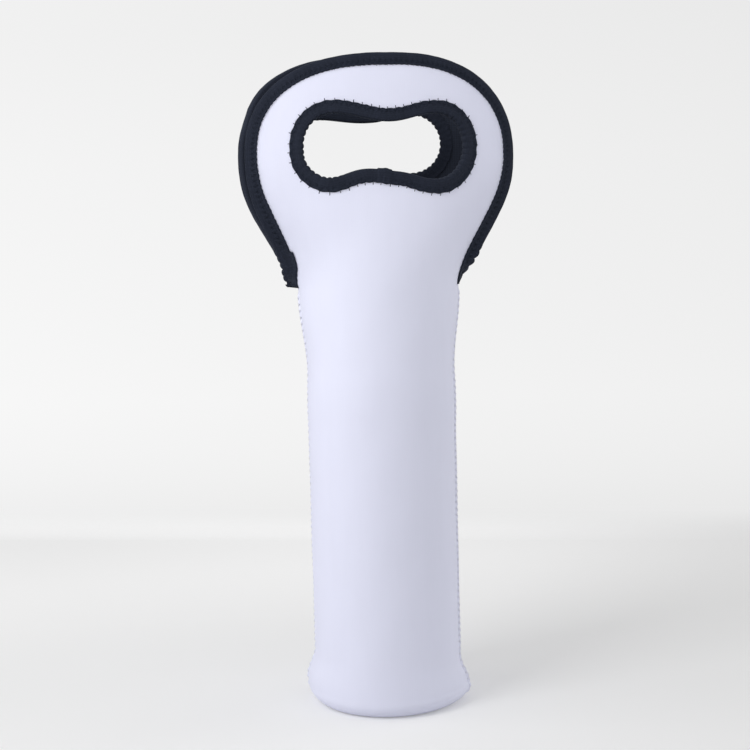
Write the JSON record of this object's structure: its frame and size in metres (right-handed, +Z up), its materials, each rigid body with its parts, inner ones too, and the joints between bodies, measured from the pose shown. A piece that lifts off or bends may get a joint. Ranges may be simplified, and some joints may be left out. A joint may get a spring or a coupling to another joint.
{
  "type": "bottle carrier",
  "caption": "Soft foam-laminate sleeve that carries a bottle upright, with bowed carrying heads, bound hand holes and taped edges",
  "frame": {"origin": "middle of the base, on the surface that the carrier stands on", "axes": "+Z up, X across the panels from side seam to side seam, front panel facing -Y"},
  "size_m": [0.1466, 0.082, 0.3566],
  "materials": {
    "face_fabric": "smooth white polyester knit bonded to foam, soft and matt",
    "foam": "black closed-cell foam core, matt, hidden between the fabrics",
    "lining": "black polyester knit lining, matt",
    "binding": "black folded knit binding tape, matt with a slight nap",
    "dark_thread": "black polyester sewing thread",
    "white_thread": "white polyester sewing thread"
  },
  "bodies": {
    "sleeve": {"front_face": "face_fabric", "front_foam": "foam", "front_lining": "lining", "back_face": "face_fabric", "back_foam": "foam", "back_lining": "lining", "front_fold_face": "face_fabric", "front_fold_foam": "foam", "front_fold_lining": "lining", "back_fold_face": "face_fabric", "back_fold_foam": "foam", "back_fold_lining": "lining", "front_left_tail": "binding", "front_right_tail": "binding", "back_left_tail": "binding", "back_right_tail": "binding", "left_seam_thread": "white_thread", "right_seam_thread": "white_thread", "base_seam_thread": "white_thread"},
    "front_head": {"front_head_face": "face_fabric", "front_head_foam": "foam", "front_head_lining": "lining", "front_hole_binding": "binding", "front_edge_binding": "binding", "front_hole_thread": "dark_thread", "front_edge_thread": "dark_thread"},
    "back_head": {"back_head_face": "face_fabric", "back_head_foam": "foam", "back_head_lining": "lining", "back_hole_binding": "binding", "back_edge_binding": "binding", "back_hole_thread": "dark_thread", "back_edge_thread": "dark_thread"}
  },
  "joints": [
    {"name": "front_head_bend", "type": "hinge", "parent": "sleeve", "child": "front_head", "pos_m": [0, -0.02, 0.248], "axis": [1, 0, 0], "range_deg": [-9, 20], "stiffness_Nm_per_rad": 0.15, "deforming": ["front_fold_face", "front_fold_foam", "front_fold_lining", "front_left_tail", "front_right_tail"]},
    {"name": "back_head_bend", "type": "hinge", "parent": "sleeve", "child": "back_head", "pos_m": [0, 0.02, 0.248], "axis": [-1, 0, 0], "range_deg": [-9, 20], "stiffness_Nm_per_rad": 0.15, "deforming": ["back_fold_face", "back_fold_foam", "back_fold_lining", "back_left_tail", "back_right_tail"]}
  ]
}
